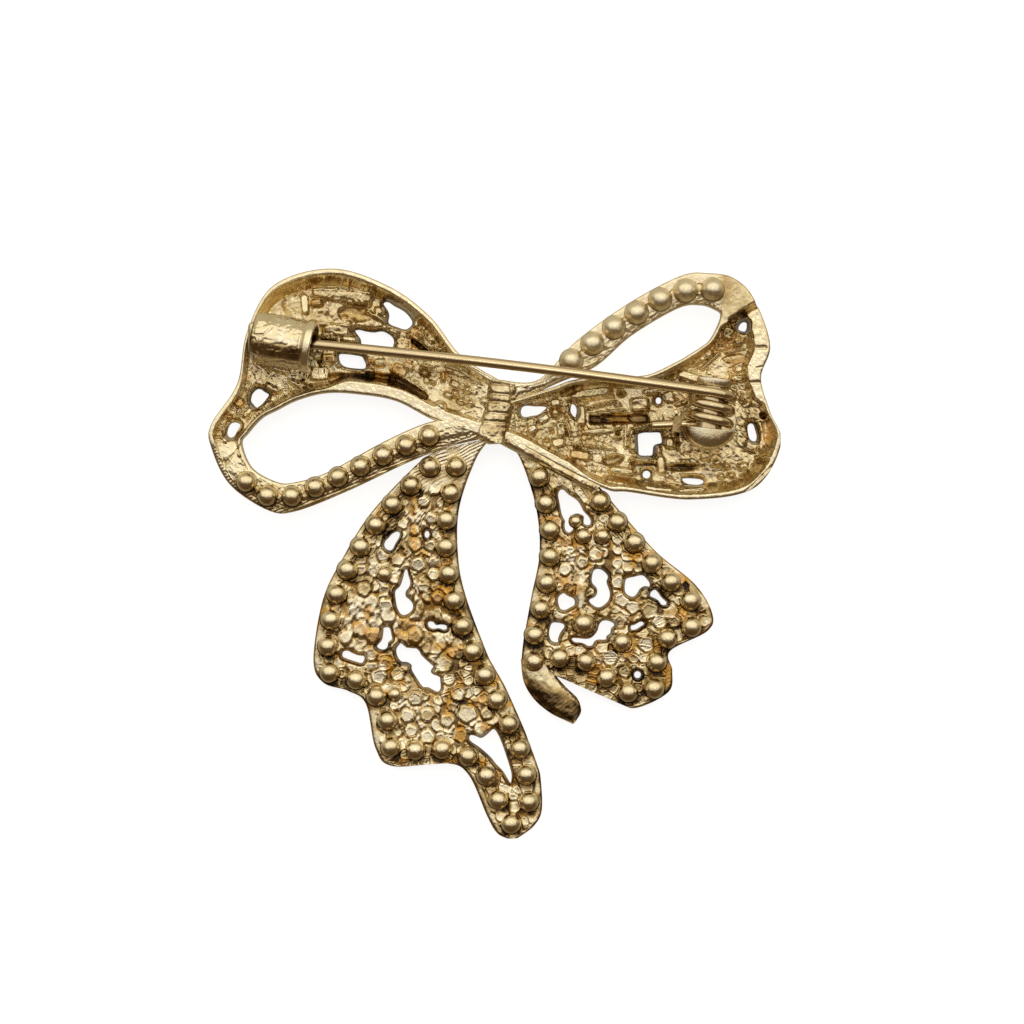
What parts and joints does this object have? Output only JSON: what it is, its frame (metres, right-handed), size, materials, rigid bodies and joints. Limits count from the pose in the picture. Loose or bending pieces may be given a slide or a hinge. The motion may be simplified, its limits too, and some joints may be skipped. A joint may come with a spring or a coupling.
{
  "type": "bow brooch",
  "caption": "Pierced cast bow brooch with hollow loops, ball-edged tails, a barrel catch and a sprung wire pin that swings open on its coil.",
  "frame": {"origin": "middle of the bounding box on the surface that the front of the brooch lies on", "axes": "+X along the bow from the catch to the coil, +Y from the tails to the loops, +Z out of the back of the brooch towards the pin"},
  "size_m": [0.0544, 0.0542, 0.0087],
  "materials": {
    "gilt_casting": "worn gilding with ochre tarnish in the recesses",
    "gilt_post": "satin",
    "gilt_wire": "polished"
  },
  "bodies": {
    "brooch": {"bow_casting": "gilt_casting", "hinge_post": "gilt_post", "pin_foot": "gilt_wire"},
    "pin": {"pin": "gilt_wire"}
  },
  "joints": [
    {"name": "pin_lift", "type": "hinge", "parent": "brooch", "child": "pin", "pos_m": [0.02051, 0.01393, 0.00402], "axis": [0.1163, 0.9932, 0], "range_deg": [0, 70]}
  ]
}
